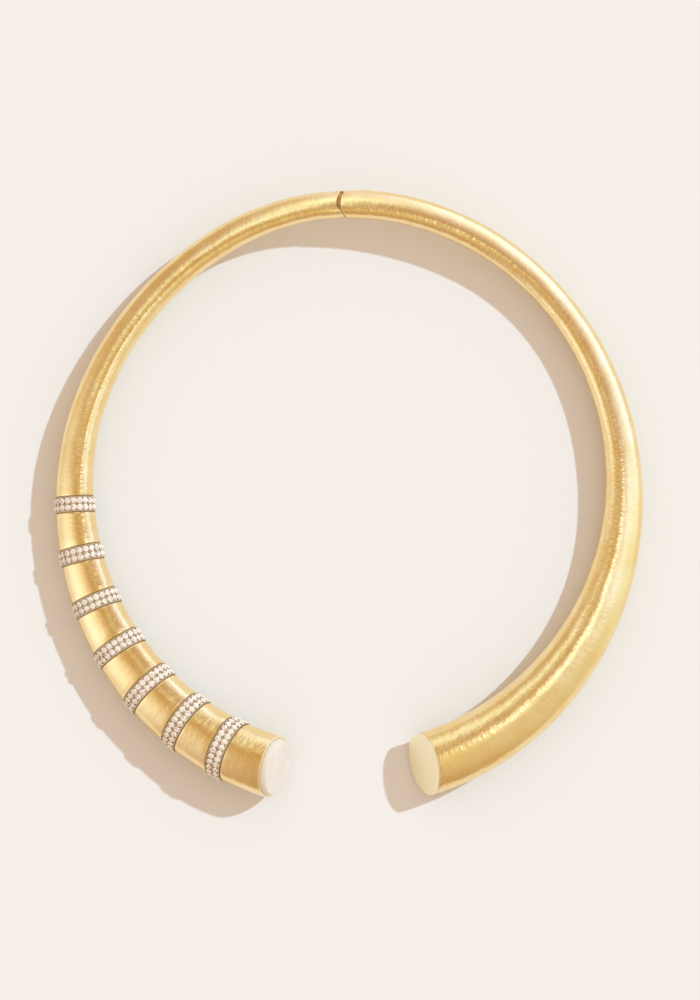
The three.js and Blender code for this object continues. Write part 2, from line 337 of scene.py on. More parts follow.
class NodeBench:
    """Sets out and joins the nodes of one material."""

    def __init__(self, name: str) -> None:
        """Starts a material with only its output.

        Args:
            name: The material's name.
        """
        self.material = bpy.data.materials.new(name)
        self.material.use_nodes = True
        self.tree = self.material.node_tree
        self.tree.nodes.clear()
        self.output = self.tree.nodes.new("ShaderNodeOutputMaterial")

    def add(
        self, kind: str, sockets: dict[int | str, Any], out: int | str = 0, **settings: Any
    ) -> Any:
        """Adds a node and feeds its sockets.

        Args:
            kind: The node's type, without its prefix.
            sockets: Constants or other nodes' outputs, by socket.
            out: The output that is wanted.
            **settings: Attributes of the node itself.

        Returns:
            The output's socket.
        """
        node = self.tree.nodes.new("ShaderNode" + kind)
        for key, value in settings.items():
            setattr(node, key, value)
        for key, value in sockets.items():
            if isinstance(value, bpy.types.NodeSocket):
                self.tree.links.new(value, node.inputs[key])
            else:
                node.inputs[key].default_value = value
        return node.outputs[out]

    def place(self) -> Any:
        """The sweep coordinates: millimetres along an arm and round it."""
        return self.add("UVMap", {}, uv_map="sweep")

    def solid(self) -> Any:
        """The object's own coordinates, in metres."""
        return self.add("TexCoord", {}, "Object")

    def noise(self, vector: Any, grains: Triple, turn: float = 0.0, detail: float = 2.0) -> Any:
        """Noise with grains of a stated size.

        Args:
            vector: Coordinates to lay it in.
            grains: How many go to a unit of each coordinate.
            turn: Degrees that they are turned in the first two.
            detail: Octaves of finer grain.

        Returns:
            The noise's strength.
        """
        angle = math.radians(turn)
        sockets = {"Vector": vector, "Angle": angle}
        turned = self.add("VectorRotate", sockets, rotation_type="Z_AXIS")
        scaled = self.add("VectorMath", {0: turned, 1: grains}, operation="MULTIPLY")
        return self.add("TexNoise", {"Vector": scaled, "Scale": 1.0, "Detail": detail})

    def grain(self, count: float, detail: float = 2.0) -> Any:
        """Even noise through the solid, with this many grains to a metre."""
        return self.noise(self.solid(), (count, count, count), 0.0, detail)

    def ramp(
        self, share: Any, low: float = 0.0, high: float = 1.0, start: float = 0.3, end: float = 0.7
    ) -> Any:
        """Maps a strength between start and end onto low to high."""
        ends = {"From Min": start, "From Max": end, "To Min": low, "To Max": high}
        return self.add("MapRange", {"Value": share, **ends}, interpolation_type="SMOOTHSTEP")

    def blend(self, share: Any, first: Triple, second: Triple) -> Any:
        """Colour between two, by strength."""
        sockets = {0: share, 6: (*first, 1.0), 7: (*second, 1.0)}
        return self.add("Mix", sockets, 2, data_type="RGBA")

    def bump(self, height: Any, depth: float, normal: Any = None) -> Any:
        """Relief from a strength.

        Args:
            height: The strength.
            depth: Depth of the relief, in millimetres.
            normal: Relief already made, to add to.

        Returns:
            The shading normal.
        """
        sockets = {"Height": height, "Strength": 1.0, "Distance": depth * MM}
        if normal is not None:
            sockets["Normal"] = normal
        return self.add("Bump", sockets)

    def finish(self, sockets: dict[int | str, Any], kind: str = "BsdfPrincipled") -> Material:
        """Ends the material in a shader with these inputs."""
        self.tree.links.new(self.add(kind, sockets), self.output.inputs["Surface"])
        return self.material


@dataclass(frozen=True)
class Mark:
    """One kind of tool mark, sized in millimetres along the arm and round it."""

    width: float
    length: float
    turn: float
    depth: float = 0.0
    detail: float = 2.0

    def noise(self, bench: NodeBench, place: Any) -> Any:
        """The marks' strength, laid in the sweep coordinates."""
        grains = (1.0 / self.width, 1.0 / self.length, 1.0)
        return bench.noise(place, grains, self.turn, self.detail)


@dataclass(frozen=True)
class SatinGold:
    """Yellow gold with short scratches of a coarse brush across it and soft hammer marks."""

    deep: Triple = (0.935, 0.71, 0.34)
    pale: Triple = (0.965, 0.78, 0.43)
    cloud_size: float = 6.0
    wave_size: float = 9.0
    wave_depth: float = 0.35
    marks: tuple[Mark, ...] = (
        Mark(1.1, 1.9, 8.0, 0.09, 3.0),
        Mark(0.55, 0.85, -8.0, 0.035),
        Mark(0.30, 2.4, 3.0, 0.014),
        Mark(0.30, 2.4, 16.0, 0.014),
        Mark(0.30, 2.4, -14.0, 0.014),
    )
    hairline: Mark = Mark(0.10, 1.2, 6.0, detail=3.0)
    roughness: tuple[float, float] = (0.16, 0.28)

    def make(self) -> Material:
        """Builds the material.

        Returns:
            The material.
        """
        bench = NodeBench("satin_gold")
        place = bench.place()
        normal = bench.bump(bench.grain(1.0 / (self.wave_size * MM), 1.0), self.wave_depth)
        for mark in self.marks:
            normal = bench.bump(mark.noise(bench, place), mark.depth, normal)
        cloud = bench.ramp(bench.grain(1.0 / (self.cloud_size * MM)))
        return bench.finish(
            {
                "Base Color": bench.blend(cloud, self.deep, self.pale),
                "Metallic": 1.0,
                "Roughness": bench.ramp(self.hairline.noise(bench, place), *self.roughness),
                "Normal": normal,
            }
        )


@dataclass(frozen=True)
class FinedGold:
    """Pale gold brought to an even sheen, with the faint straight lines of the last tool."""

    name: str
    colour: Triple
    roughness: tuple[float, float]
    haze: float
    line_width: float
    line_depth: float
    line_turn: float
    line_grains: float = 900.0

    def make(self) -> Material:
        """Builds the material.

        Returns:
            The material.
        """
        bench = NodeBench(self.name)
        grains = (1.0 / (self.line_width * MM), self.line_grains, self.line_grains)
        lines = bench.noise(bench.solid(), grains, self.line_turn)
        return bench.finish(
            {
                "Base Color": (*self.colour, 1.0),
                "Metallic": 1.0,
                "Roughness": bench.ramp(bench.grain(self.haze), *self.roughness),
                "Normal": bench.bump(lines, self.line_depth),
            }
        )


@dataclass(frozen=True)
class GrainedFinish:
    """A dull finish with an even grain and, if stated, a second tone where it is worn."""

    name: str
    colour: Triple
    roughness: tuple[float, float] = (0.60, 0.42)
    metallic: float = 1.0
    grains: float = 1500.0
    detail: float = 3.0
    relief: float = 0.02
    specular: float = 0.5
    worn: Triple | None = None
    worn_range: tuple[float, float] = (0.35, 0.75)

    def make(self) -> Material:
        """Builds the material.

        Returns:
            The material.
        """
        bench = NodeBench(self.name)
        grain = bench.grain(self.grains, self.detail)
        colour: Any = (*self.colour, 1.0)
        if self.worn:
            wear = bench.ramp(grain, 0.0, 1.0, *self.worn_range)
            colour = bench.blend(wear, self.colour, self.worn)
        return bench.finish(
            {
                "Base Color": colour,
                "Metallic": self.metallic,
                "Roughness": bench.ramp(grain, *self.roughness),
                "Specular IOR Level": self.specular,
                "Normal": bench.bump(grain, self.relief),
            }
        )


POLISHED_GOLD = FinedGold(
    "polished_gold", (0.96, 0.79, 0.47), (0.16, 0.26), 600.0, 0.08, 0.0012, 20.0
)
"""The hinge's pin."""

BRIGHTENED_LAPPED_GOLD = FinedGold(
    "lapped_gold_painted_bright", (1.0, 0.92, 0.66), (0.40, 0.50), 300.0, 0.12, 0.0015, 35.0
)
# The face of the plain end, and the bezel, in gold paler than the arms' gold: a painted bright
# reflection.
"""The face of the plain end, and the bezel."""

PAINTED_SHADE_GOLD = GrainedFinish(
    "gold_painted_shade", (0.66, 0.40, 0.16), (0.55, 0.40), grains=900.0, worn=(0.92, 0.62, 0.30)
)
# Gold darkened to brown as painted shade where shade falls: the hinge's hidden faces, the tongue,
# the bands' channels and the plain end's seam.
"""Gold that has browned where no brush or hand reaches: the hinge's hidden faces."""

PAINTED_RECESS_SHADE = GrainedFinish(
    "metal_painted_recess_shade",
    (0.62, 0.49, 0.32),
    metallic=0.6,
    worn=(0.90, 0.77, 0.58),
    worn_range=(0.40, 0.70),
)
# The setting's metal in the recesses round the stones, darkened brown as painted shade, with
# lighter patches at random.
"""The setting's metal in the recesses round the stones."""

PAINTED_FOOT_SHADE = GrainedFinish("metal_painted_foot_shade", (0.42, 0.27, 0.13), metallic=0.7)
# The foot of each band, where it meets the arm, painted dark brown as the shade in that groove.
"""The dark brown foot of each band, where it meets the arm."""

WHITE_METAL = GrainedFinish(
    "white_metal", (0.92, 0.80, 0.62), (0.32, 0.50), 0.55, grains=2500.0, detail=2.0, relief=0.008
)
"""The grains that hold the stones, and the edges of the bands."""

TABLE_BOARD = GrainedFinish(
    "table_top", (0.835, 0.82, 0.79), (0.75, 0.85), 0.0, 900.0, 4.0, relief=0.01, specular=0.0
)
"""The matt pale board that the necklace lies on."""


@dataclass(frozen=True)
class CutStone:
    """Small colourless stones, painted a pale warm colour that stands in for the light their facets
    send back, with painted dark reflections at random in their depth.
    """

    # The pale colour is painted light from the facets; the darker colour is painted dark
    # reflection.
    clear: Triple = (0.94, 0.84, 0.71)
    dark_reflection: Triple = (0.60, 0.47, 0.36)
    dark_reflection_size: float = 0.55
    dark_reflection_range: tuple[float, float] = (0.52, 0.68)

    def make(self) -> Material:
        """Builds the material.

        Returns:
            The material.
        """
        bench = NodeBench("cut_stone")
        dark_reflections = bench.grain(1.0 / (self.dark_reflection_size * MM), 1.0)
        share = bench.ramp(dark_reflections, 0.0, 1.0, *self.dark_reflection_range)
        return bench.finish(
            {
                "Base Color": bench.blend(share, self.clear, self.dark_reflection),
                "Roughness": 0.06,
                "IOR": 1.7,
                "Transmission Weight": 0.08,
            }
        )


@dataclass(frozen=True)
class MilkyStone:
    """Milky translucent stone, with light in its depth and faint clouds."""

    name: str = "milky_stone"
    clear: Triple = (0.82, 0.75, 0.68)
    cloud: Triple = (0.77, 0.69, 0.59)
    veil_grains: Triple = (260.0, 140.0, 200.0)
    veil_turn: float = 30.0
    light_reach: Triple = (1.0, 0.9, 0.8)
    light_depth: float = 1.6

    def make(self) -> Material:
        """Builds the material.

        Returns:
            The material.
        """
        bench = NodeBench(self.name)
        veil = bench.noise(bench.solid(), self.veil_grains, self.veil_turn, 3.0)
        share = bench.ramp(veil, 0.0, 1.0, 0.35)
        return bench.finish(
            {
                "Base Color": bench.blend(share, self.clear, self.cloud),
                "Roughness": 0.22,
                "IOR": 1.5,
                "Transmission Weight": 0.05,
                "Subsurface Weight": 0.6,
                "Subsurface Radius": self.light_reach,
                "Subsurface Scale": self.light_depth * MM,
            }
        )


MILKY_BEVEL_PAINTED = MilkyStone("milky_stone_painted_bevel", (0.80, 0.72, 0.60), (0.76, 0.66, 0.51))
# The end stone's bevel, painted a darker tan than its face: painted shade, tinted with the gold's
# colour.
"""The end stone's bevel, which takes a little of the gold's colour."""


@dataclass
class Palette:
    """Every finish of the necklace, made once."""

    satin: Material = field(default_factory=SatinGold().make)
    polished: Material = field(default_factory=POLISHED_GOLD.make)
    # Pale gold: a painted bright reflection on the plain end's face and on the bezel.
    painted_bright: Material = field(default_factory=BRIGHTENED_LAPPED_GOLD.make)
    # Brown painted shade for the hinge's faces, the tongue, the bands' channels and the seam.
    shade_gold: Material = field(default_factory=PAINTED_SHADE_GOLD.make)
    # Brown painted shade in the recesses round the stones.
    recess_shade: Material = field(default_factory=PAINTED_RECESS_SHADE.make)
    # Dark brown painted shade in the groove at each band's foot.
    foot_shade: Material = field(default_factory=PAINTED_FOOT_SHADE.make)
    white: Material = field(default_factory=WHITE_METAL.make)
    # Stones in a pale warm colour with painted dark reflections, standing in for the light of their
    # facets.
    stone: Material = field(default_factory=CutStone().make)
    milky: Material = field(default_factory=MilkyStone().make)
    # Darker tan bevel: painted shade tinted with the gold's colour.
    milky_bevel_shade: Material = field(default_factory=MILKY_BEVEL_PAINTED.make)


# ---- mesh making ---------------------------------------------------------------------


def ring_faces(rows: int, sides: int, closed: bool = False) -> list[Face]:
    """Faces between rings of points.

    Args:
        rows: How many rings there are.
        sides: Points to a ring.
        closed: Whether the last ring joins the first.

    Returns:
        One strip of faces after another.
    """
    faces = []
    for row in range(rows if closed else rows - 1):
        low = row * sides
        high = (row + 1) % rows * sides
        for i in range(sides):
            j = (i + 1) % sides
            faces.append((low + i, low + j, high + j, high + i))
    return faces


def mesh_object(
    name: str,
    points: np.ndarray,
    faces: list[Face],
    finishes: list[Material],
    slots: list[int] | None = None,
    places: np.ndarray | None = None,
    sharp_angle: float = SHARP_ANGLE,
) -> Object:
    """Makes a mesh object whose faces look out.

    Args:
        name: The object's name.
        points: Its points, in metres.
        faces: Its faces.
        finishes: Its materials.
        slots: The material of each face.
        places: Sweep coordinates of each face corner.
        sharp_angle: Edges that turn more than this many degrees stay crisp.

    Returns:
        The object, linked to the scene.
    """
    mesh = bpy.data.meshes.new(name)
    mesh.from_pydata([tuple(p) for p in points], [], faces)
    for material in finishes:
        mesh.materials.append(material)
    if slots is not None:
        mesh.polygons.foreach_set("material_index", slots)
    layer = mesh.uv_layers.new(name="sweep")
    if places is not None:
        layer.data.foreach_set("uv", places.astype(np.float32).ravel())
    work = bmesh.new()
    work.from_mesh(mesh)
    bmesh.ops.recalc_face_normals(work, faces=work.faces)
    if work.calc_volume(signed=True) < 0.0:
        bmesh.ops.reverse_faces(work, faces=work.faces)
    work.to_mesh(mesh)
    work.free()
    mesh.shade_smooth()
    mesh.set_sharp_from_angle(angle=math.radians(sharp_angle))
    thing = bpy.data.objects.new(name, mesh)
    bpy.context.collection.objects.link(thing)
    return thing


@dataclass
class Row:
    """One ring of points round a swept form, with the finish of the strip after it."""

    points: np.ndarray
    finish: int = 0


@dataclass
class Sweep:
    """A closed body through rings of points, with one finish to a strip."""

    name: str
    rows: list[Row]
    finishes: list[Material]
    sharp_angle: float = SHARP_ANGLE

    def coordinates(self) -> np.ndarray:
        """Millimetres along the sweep and round it, with one column more than sides.

        Returns:
            Both measures, by ring and by point of the ring.
        """
        points = np.stack([row.points for row in self.rows])
        middles = points.mean(axis=1)
        steps = np.linalg.norm(np.diff(middles, axis=0), axis=1)
        edges = np.linalg.norm(np.diff(points, axis=0), axis=2).max(axis=1)
        along = np.concatenate([[0.0], np.cumsum(np.maximum(steps, 0.5 * edges))])
        girth = np.linalg.norm(points - middles[:, None, :], axis=2).mean(axis=1)
        share = np.linspace(0.0, 1.0, points.shape[1] + 1)
        around = FULL_TURN * girth[:, None] * share[None, :]
        return np.stack(np.broadcast_arrays(along[:, None], around), axis=-1)

    def build(self) -> Object:
        """Makes the mesh, facing out, with its sweep coordinates.

        Returns:
            The object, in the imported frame.
        """
        rings = np.stack([FORM.to_frame(row.points) for row in self.rows])
        count, sides = rings.shape[:2]
        hubs = np.stack([rings[0].mean(axis=0), rings[-1].mean(axis=0)])
        points = np.concatenate([rings.reshape(-1, 3), hubs])
        faces = ring_faces(count, sides)
        slots = [row.finish for row in self.rows[:-1] for _ in range(sides)]
        grid = self.coordinates()
        corners = [grid[:-1, :-1], grid[:-1, 1:], grid[1:, 1:], grid[1:, :-1]]
        places = [np.stack(corners, axis=2).reshape(-1, 2)]
        for row, first in ((0, 0), (-1, (count - 1) * sides)):
            hub = count * sides - row
            for i in range(sides):
                ends = (first + i, first + (i + 1) % sides)
                faces.append((hub, *(ends if row else ends[::-1])))
            slots += [self.rows[row].finish] * sides
            rim = grid[row, :-1]
            places.append(np.stack([rim * (1.0, 0.0), rim, rim], axis=1).reshape(-1, 2))
        uv = np.concatenate(places)
        return mesh_object(self.name, points, faces, self.finishes, slots, uv, self.sharp_angle)


def cut_away(thing: Object, cutter: Object, sharp_angle: float = SHARP_ANGLE) -> None:
    """Cuts one body out of another for good.

    Args:
        thing: The body that is cut.
        cutter: The body that is taken away, and then removed.
        sharp_angle: Edges that turn more than this stay crisp.
    """
    tool = thing.modifiers.new("cut", "BOOLEAN")
    tool.operation = "DIFFERENCE"
    tool.solver = "EXACT"
    tool.object = cutter
    seen = thing.evaluated_get(bpy.context.evaluated_depsgraph_get())
    mesh = bpy.data.meshes.new_from_object(seen)
    thing.modifiers.clear()
    thing.data = mesh
    mesh.set_sharp_from_angle(angle=math.radians(sharp_angle))
    bpy.data.objects.remove(cutter)


def dress(thing: Object, body: Body, slot: Slot, *nodes: str) -> Object:
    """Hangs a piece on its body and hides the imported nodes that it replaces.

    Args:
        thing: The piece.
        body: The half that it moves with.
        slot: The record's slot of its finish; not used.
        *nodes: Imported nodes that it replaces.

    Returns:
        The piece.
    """
    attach(thing, body.value)
    if nodes:
        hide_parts(*nodes)
    return thing


# ---- the hinge -----------------------------------------------------------------------


def arc(radius: float, start: float, end: float, count: int) -> Outline:
    """Plan of a round line about the pin, between two angles in radians."""
    return [(radius * math.cos(a), radius * math.sin(a)) for a in np.linspace(start, end, count)]


@dataclass(frozen=True)
class Hinge:
    """The pin hinge at the nape: a forked round nose, a cup and a tongue."""

    nose_radius: float = 4.5
    gap: float = 0.9
    lip: float = 0.77
    lip_start: float = 0.9
    lip_under: float = 0.2
    lip_ease: float = 0.8
    edge: float = 0.12
    tongue_radius: float = 2.7
    tongue_neck: float = 4.4
    tongue_thickness: float = 2.2
    tongue_root: float = 1.5
    pin_radius: float = 0.8
    pin_half_length: float = 2.4
    clearance: float = 0.3
    cutter_reach: float = 12.0
    drill_length: float = 6.0
    face_rings: int = 7
    edge_rings: int = 4
    eye_sides: int = 48
    hole_sides: int = 40

    def post_x(self, side: Side, turn: np.ndarray, reach: float) -> np.ndarray:
        """Where the round of an arm's end is centred, with the cup's inner and lower lip.

        Args:
            side: The arm.
            turn: Places round it.
            reach: The ring's radius.

        Returns:
            One centre to a turn.
        """
        if side is Side.RIGHT:
            return np.full(turn.shape, FORM.pin_x)
        inner = smooth((-reach * np.cos(turn) - self.lip_start) / self.lip_ease)
        under = smooth((-reach * np.sin(turn) - self.lip_under) / self.lip_ease)
        return FORM.pin_x - self.gap + self.lip * np.maximum(inner, under)

    def end_rows(self, side: Side, turn: np.ndarray) -> list[Row]:
        """Rings from the middle of an arm's hinge end out to its skin.

        Args:
            side: The arm.
            turn: Places round it.

        Returns:
            The rings of the rounded end and of its eased edge.
        """
        inward = -1.0 if side is Side.RIGHT else 1.0
        reach = float(FORM.radius(side, np.array([0.0]))[0])
        plan = []
        # The rounded end's faces take finish 1, brown painted shade inside the hinge; the eased
        # edge keeps finish 0.
        for step in range(1, self.face_rings):
            proud = -reach + (reach - self.edge) * step / self.face_rings
            plan.append((proud, self.nose_radius, 1))
        for step in range(self.edge_rings + 1):
            lean = 0.5 * math.pi * (1.0 - step / self.edge_rings)
            radius = self.nose_radius + inward * self.edge * (1.0 - math.sin(lean))
            plan.append((-self.edge * (1.0 - math.cos(lean)), radius, 0))
        rows = []
        for proud, radius, finish in plan:
            post_x = self.post_x(side, turn, reach + proud)
            rows.append(Row(FORM.post_ring(side, turn, proud, post_x, radius), finish))
        return rows

    def upright(self, name: str, outline: Outline, height: float, finish: Material) -> Object:
        """An upright prism at the hinge.

        Args:
            name: The object's name.
            outline: Its plan, from the pin, along the arms and outwards.
            height: Its height, centred on the arms.
            finish: Its material.

        Returns:
            The object.
        """
        ends = (FORM.hinge_height - height / 2.0, FORM.hinge_height + height / 2.0)
        points = [(FORM.pin_x + x, FORM.half_depth + y, z) for z in ends for x, y in outline]
        count = len(outline)
        faces: list[Face] = [tuple(range(count)), tuple(range(2 * count - 1, count - 1, -1))]
        faces += [(i, i + count, (i + 1) % count + count, (i + 1) % count) for i in range(count)]
        return mesh_object(name, FORM.to_frame(np.array(points)), faces, [finish])

    def pin_hole(self) -> Outline:
        """Plan of the hole for the pin."""
        return arc(self.pin_radius + self.clearance, 0.0, FULL_TURN, self.hole_sides + 1)[:-1]

    def cut_fork(self, arm: Object, lining: Material) -> None:
        """Cuts the tongue's slot and the pin's hole in the right arm's nose.

        Args:
            arm: The right arm.
            lining: Finish of the cut faces, brown as painted shade.
        """
        radius = self.tongue_radius + self.clearance
        neck = self.tongue_neck / 2.0 + self.clearance
        far = self.cutter_reach
        slot = [(-far, far), (-far, -neck), (-math.sqrt(radius**2 - neck**2), -neck)]
        slot += arc(radius, math.asin(neck / radius) - math.pi, math.pi / 2.0, self.hole_sides)[1:]
        slot.append((0.0, far))
        slot_height = self.tongue_thickness + 2.0 * self.clearance
        hole_height = 2.0 * (self.pin_half_length + self.clearance)
        for plan, height in ((slot, slot_height), (self.pin_hole(), hole_height)):
            cut_away(arm, self.upright("cutter", plan[::-1], height, lining))

    def make_tongue(self, palette: Palette) -> Object:
        """The left arm's tongue, a round eye for the pin on a straight neck.

        Args:
            palette: The finishes.

        Returns:
            The tongue, dressed.
        """
        neck = self.tongue_neck / 2.0
        length = self.nose_radius + self.gap + self.tongue_root
        half = math.pi - math.asin(neck / self.tongue_radius)
        plan = arc(self.tongue_radius, -half, half, self.eye_sides)
        plan += [(-length, neck), (-length, -neck)]
        # The tongue is painted brown as the shade in the hinge's gap.
        tongue = self.upright("hinge_tongue", plan, self.tongue_thickness, palette.shade_gold)
        cut_away(tongue, self.upright("cutter", self.pin_hole(), self.drill_length, palette.shade_gold))
        return dress(tongue, Body.LEFT_HALF, Slot.SATIN_GOLD)


# ---- the arms ------------------------------------------------------------------------


@dataclass(frozen=True)
class Bands:
    """Where the stone bands sit on the left arm, and how they are made up."""

    count: int = 7
    first: float = 93.0
    pitch: float = 10.2
    width: float = 3.4
    proud: float = 0.4
    rim_proud: float = 0.22
    rim_width: float = 0.12
    depth: float = 0.9
    clearance: float = 0.3
    stone_pitch: float = 1.53
    stone_arc: float = math.radians(240.0)
    girdle: float = 0.765
    measure_steps: int = 400

    def places(self) -> list[float]:
        """Degrees round the loop of each band."""
        return [self.first + i * self.pitch for i in range(self.count)]

    def stone_turns(self, at: float) -> np.ndarray:
        """Places round the arm of the gaps between one row's stones, evenly spaced.

        Args:
            at: Place of the band.

        Returns:
            One turn more than the row has stones.
        """
        start = (math.pi - self.stone_arc) / 2.0
        fine = np.linspace(start, start + self.stone_arc, self.measure_steps)
        skin = FORM.ring(Side.LEFT, at, fine, self.rim_proud)
        steps = np.linalg.norm(np.diff(skin, axis=0), axis=1)
        run = np.concatenate([[0.0], np.cumsum(steps)])
        count = round(run[-1] / self.stone_pitch)
        return np.interp(np.linspace(0.0, run[-1], count + 1), run, fine)


def eased_edge(width: float, count: int, finish: int) -> Profile:
    """Profile of a rounded edge: height above the skin, place before the end, finish."""
    leans = np.linspace(0.0, 0.5 * math.pi, count)
    return [(-width * (1.0 - math.cos(a)), -width * (1.0 - math.sin(a)), finish) for a in leans]


@dataclass(frozen=True)
class Arm:
    """What both arms share: a fine sweep of the tapering tube."""

    hinge: Hinge
    sides: int = 112
    step: float = 1.1

    def turns(self) -> np.ndarray:
        """Places round the arm, with the seam underneath."""
        return np.linspace(-0.5 * math.pi, 1.5 * math.pi, self.sides, endpoint=False)

    def tube_rows(self, side: Side, start: float, end: float) -> list[Row]:
        """Rings of bare tube.

        Args:
            side: The arm.
            start: Degrees of the first ring.
            end: Degrees that the rings stop short of.

        Returns:
            The rings.
        """
        count = max(1, round((end - start) / self.step))
        places = np.linspace(start, end, count, endpoint=False)
        return [Row(FORM.ring(side, at, self.turns())) for at in places]

    def profile_rows(self, side: Side, at: float, profile: Profile) -> list[Row]:
        """Rings of a profile that runs round an arm, measured from one cross plane."""
        turn = self.turns()
        return [Row(FORM.ring(side, at, turn, high, off), finish) for high, off, finish in profile]


@dataclass(frozen=True)
class PlainArm(Arm):
    """The right arm, with the hinge's fork and a flat polished end."""

    tube_start: float = 1.5
    tube_stop: float = 0.9
    seam_setback: float = 0.50
    seam_width: float = 0.10
    seam_depth: float = 0.04
    seam_wall: float = 0.3
    seam_lead: float = 0.25
    bevel: float = 0.20
    bevel_rings: int = 5
    face_rings: int = 8

    def end_rows(self) -> list[Row]:
        """Rings of the fine seam, brown as painted shade in its groove, and of the polished collar,
        its eased edge and the face, in gold painted paler than the arm as a bright reflection.

        Returns:
            The rings, from the last of the tube on.
        """
        seam = self.seam_setback
        profile = [
            (0.0, -seam - self.seam_lead, 0),
            (0.0, -seam, 1),
            (-self.seam_depth, -seam + self.seam_wall * self.seam_width, 1),
            (-self.seam_depth, -seam + (1.0 - self.seam_wall) * self.seam_width, 1),
            (0.0, -seam + self.seam_width, 2),
            *eased_edge(self.bevel, self.bevel_rings, 2),
        ]
        rows = self.profile_rows(Side.RIGHT, FORM.arm_end, profile)
        rim = rows[-1].points
        middle = rim.mean(axis=0)
        for step in range(1, self.face_rings):
            rows.append(Row(middle + (rim - middle) * (1.0 - step / self.face_rings), 2))
        return rows

    def build(self, palette: Palette) -> Object:
        """Makes the arm, with the fork cut in its nose.

        Args:
            palette: The finishes.

        Returns:
            The arm, dressed.
        """
        rows = self.hinge.end_rows(Side.RIGHT, self.turns())
        rows += self.tube_rows(Side.RIGHT, self.tube_start, FORM.arm_end - self.tube_stop)
        rows += self.end_rows()
        arm = Sweep("plain_arm", rows, [palette.satin, palette.shade_gold, palette.painted_bright]).build()
        self.hinge.cut_fork(arm, palette.shade_gold)
        return dress(arm, Body.RIGHT_HALF, Slot.SATIN_GOLD, "right_arm")


@dataclass(frozen=True)
class BandedArm(Arm):
    """The left arm, with the channels for the bands and the end stone's bezel."""

    bands: Bands = Bands()
    tube_start: float = 6.5
    tube_stop: float = 0.6
    lip_lead: float = 0.10
    lip_edge: tuple[float, float] = (0.03, 0.02)
    lip_depth: float = 0.10
    room: float = 0.35
    room_ease: float = 1.05
    bezel_wall: float = 0.45
    bezel_depth: float = 0.6
    bezel_edge: float = 0.12
    bezel_rings: int = 4
    seat_edge: float = 0.06
    collar: float = 0.22
    collar_lead: float = 0.2

    def channel_rows(self, at: float) -> list[Row]:
        """Rings down into a band's channel and up again; the channel's walls and floor are brown as
        painted shade.

        Args:
            at: Place of the band.

        Returns:
            The rings.
        """
        half = self.bands.width / 2.0 + self.bands.clearance
        floor = -(self.bands.depth + self.bands.clearance)
        drop, ease = self.lip_edge
        profile = [
            (0.0, -half - self.lip_lead, 0),
            (-drop, -half - ease, 1),
            (-self.lip_depth, -half, 1),
            (floor, -half, 1),
            (floor, half, 1),
            (-self.lip_depth, half, 1),
            (-drop, half + ease, 0),
            (0.0, half + self.lip_lead, 0),
        ]
        return self.profile_rows(Side.LEFT, at, profile)

    def channel_span(self, at: float) -> float:
        """Degrees from a band's middle to clear of its channel.

        Args:
            at: Place of the band.

        Returns:
            The span.
        """
        _, _, _, speed = FORM.line(Side.LEFT, np.array([at]))
        half = self.bands.width / 2.0 + self.bands.clearance + self.room
        return math.degrees(half / float(speed[0])) * self.room_ease

    def bezel_ring(self, inset: float, height: float) -> np.ndarray:
        """An oval inside the end, squarely above or below its face."""
        _, normal = FORM.cross_plane(Side.LEFT, FORM.arm_end)
        return FORM.ring(Side.LEFT, FORM.arm_end, self.turns(), -inset) + height * normal

    def bezel_rows(self) -> list[Row]:
        """Rings of the bezel's lapped edge and its seat, in gold painted paler than the arm as a
        bright reflection.

        Returns:
            The rings, from the last of the tube on.
        """
        wall, ease = self.bezel_wall, self.seat_edge
        profile = [
            (0.0, -self.collar - self.collar_lead, 0),
            (0.0, -self.collar, 2),
            *eased_edge(self.bezel_edge, self.bezel_rings, 2),
        ]
        rows = self.profile_rows(Side.LEFT, FORM.arm_end, profile)
        for inset, height in ((wall - ease, 0.0), (wall, -ease), (wall, -self.bezel_depth)):
            rows.append(Row(self.bezel_ring(inset, height), 2))
        return rows

    def build(self, palette: Palette) -> Object:
        """Makes the arm, with a channel for each band.

        Args:
            palette: The finishes.

        Returns:
            The arm, dressed.
        """
        places = self.bands.places()
        half = self.bands.pitch / 2.0
        rows = self.hinge.end_rows(Side.LEFT, self.turns())
        rows += self.tube_rows(Side.LEFT, self.tube_start, places[0] - half)
        for at in places:
            span = self.channel_span(at)
            rows += self.tube_rows(Side.LEFT, at - half, at - span)
            rows += self.channel_rows(at)
            rows += self.tube_rows(Side.LEFT, at + span, at + half)
        rows += self.tube_rows(Side.LEFT, places[-1] + half, FORM.arm_end - self.tube_stop)
        rows += self.bezel_rows()
        arm = Sweep("banded_arm", rows, [palette.satin, palette.shade_gold, palette.painted_bright]).build()
        return dress(arm, Body.LEFT_HALF, Slot.SATIN_GOLD, "left_arm")


# ---- stones --------------------------------------------------------------------------


